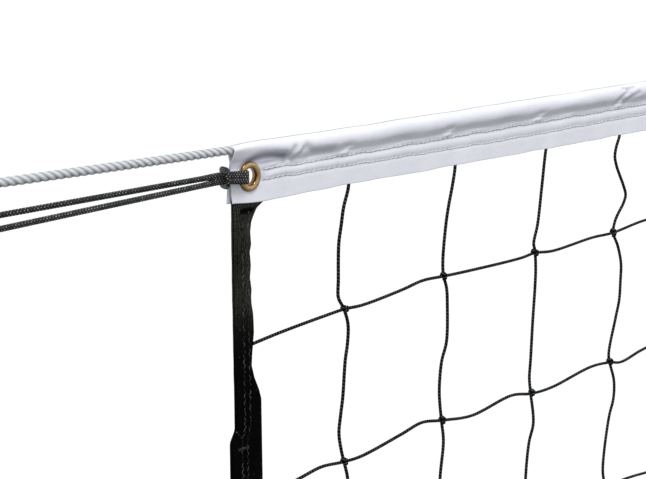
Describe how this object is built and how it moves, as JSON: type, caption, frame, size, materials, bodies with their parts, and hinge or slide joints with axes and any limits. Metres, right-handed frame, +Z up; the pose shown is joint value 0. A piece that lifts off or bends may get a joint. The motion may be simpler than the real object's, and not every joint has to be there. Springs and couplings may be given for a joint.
{
  "type": "volleyball net on poles",
  "caption": "Square-mesh court net with a vinyl headband, strung by rope and tie cords between two free-standing telescopic posts.",
  "frame": {"origin": "on the floor, midway between the two posts", "axes": "+X along the net, +Z up, the net hangs in the plane Y = 0"},
  "size_m": [11.2796, 0.56, 2.2448],
  "materials": {
    "vinyl": "satin",
    "webbing": "matte",
    "net_cord": "matte",
    "tie_braid": "matte",
    "white_rope": "matte",
    "brass": "polished",
    "post_paint": "satin",
    "galvanised": "satin",
    "cast_iron": "matte",
    "cast_alloy": "satin",
    "rubber": "matte",
    "nylon": "matte"
  },
  "bodies": {
    "posts": {"left_base_pad": "rubber", "left_base": "cast_iron", "left_socket_bolt": "galvanised", "left_lower_tube": "post_paint", "left_guide_bush": "nylon", "left_clamp_collar": "cast_alloy", "left_wheel_bracket": "post_paint", "left_wheel_axle": "galvanised", "right_base_pad": "rubber", "right_base": "cast_iron", "right_socket_bolt": "galvanised", "right_lower_tube": "post_paint", "right_guide_bush": "nylon", "right_clamp_collar": "cast_alloy", "right_wheel_bracket": "post_paint", "right_wheel_axle": "galvanised"},
    "raised_net": {"headband": "vinyl", "netting": "net_cord", "bottom_tape": "webbing", "top_rope": "white_rope", "left_upper_tube": "galvanised", "left_slide_plug": "nylon", "left_height_stop": "cast_alloy", "left_sheave_pin": "galvanised", "left_rope_cleat": "cast_alloy", "left_side_tape": "webbing", "left_upper_eyelet": "brass", "left_upper_washer": "brass", "left_upper_tie_cord": "tie_braid", "left_lower_eyelet": "brass", "left_lower_washer": "brass", "left_lower_tie_cord": "tie_braid", "right_upper_tube": "galvanised", "right_slide_plug": "nylon", "right_height_stop": "cast_alloy", "right_sheave_pin": "galvanised", "right_rope_cleat": "cast_alloy", "right_side_tape": "webbing", "right_upper_eyelet": "brass", "right_upper_washer": "brass", "right_upper_tie_cord": "tie_braid", "right_lower_eyelet": "brass", "right_lower_washer": "brass", "right_lower_tie_cord": "tie_braid"},
    "left_top_sheave": {"left_sheave": "nylon"},
    "left_clamp": {"left_clamp_screw": "galvanised", "left_clamp_knob": "nylon"},
    "left_front_roller": {"left_front_wheel": "rubber"},
    "left_rear_roller": {"left_rear_wheel": "rubber"},
    "right_top_sheave": {"right_sheave": "nylon"},
    "right_clamp": {"right_clamp_screw": "galvanised", "right_clamp_knob": "nylon"},
    "right_front_roller": {"right_front_wheel": "rubber"},
    "right_rear_roller": {"right_rear_wheel": "rubber"}
  },
  "joints": [
    {"name": "height_adjust", "type": "slide", "parent": "posts", "child": "raised_net", "axis": [0, 0, 1], "range_m": [0, 0.19]},
    {"name": "left_sheave_spin", "type": "hinge", "parent": "raised_net", "child": "left_top_sheave", "pos_m": [-5.2768, 0, 2.2239], "axis": [0, 1, 0], "continuous": true},
    {"name": "left_knob_turn", "type": "hinge", "parent": "posts", "child": "left_clamp", "pos_m": [-5.3368, 0, 1.148], "axis": [1, 0, 0], "range_deg": [0, 270]},
    {"name": "left_front_wheel_spin", "type": "hinge", "parent": "posts", "child": "left_front_roller", "pos_m": [-5.5948, 0, 0.048], "axis": [0, 1, 0], "continuous": true},
    {"name": "left_rear_wheel_spin", "type": "hinge", "parent": "posts", "child": "left_rear_roller", "pos_m": [-5.5948, 0, 0.048], "axis": [0, 1, 0], "continuous": true},
    {"name": "right_sheave_spin", "type": "hinge", "parent": "raised_net", "child": "right_top_sheave", "pos_m": [5.2768, 0, 2.2239], "axis": [0, 1, 0], "continuous": true},
    {"name": "right_knob_turn", "type": "hinge", "parent": "posts", "child": "right_clamp", "pos_m": [5.3368, 0, 1.148], "axis": [-1, 0, 0], "range_deg": [0, 270]},
    {"name": "right_front_wheel_spin", "type": "hinge", "parent": "posts", "child": "right_front_roller", "pos_m": [5.5948, 0, 0.048], "axis": [0, 1, 0], "continuous": true},
    {"name": "right_rear_wheel_spin", "type": "hinge", "parent": "posts", "child": "right_rear_roller", "pos_m": [5.5948, 0, 0.048], "axis": [0, 1, 0], "continuous": true}
  ]
}
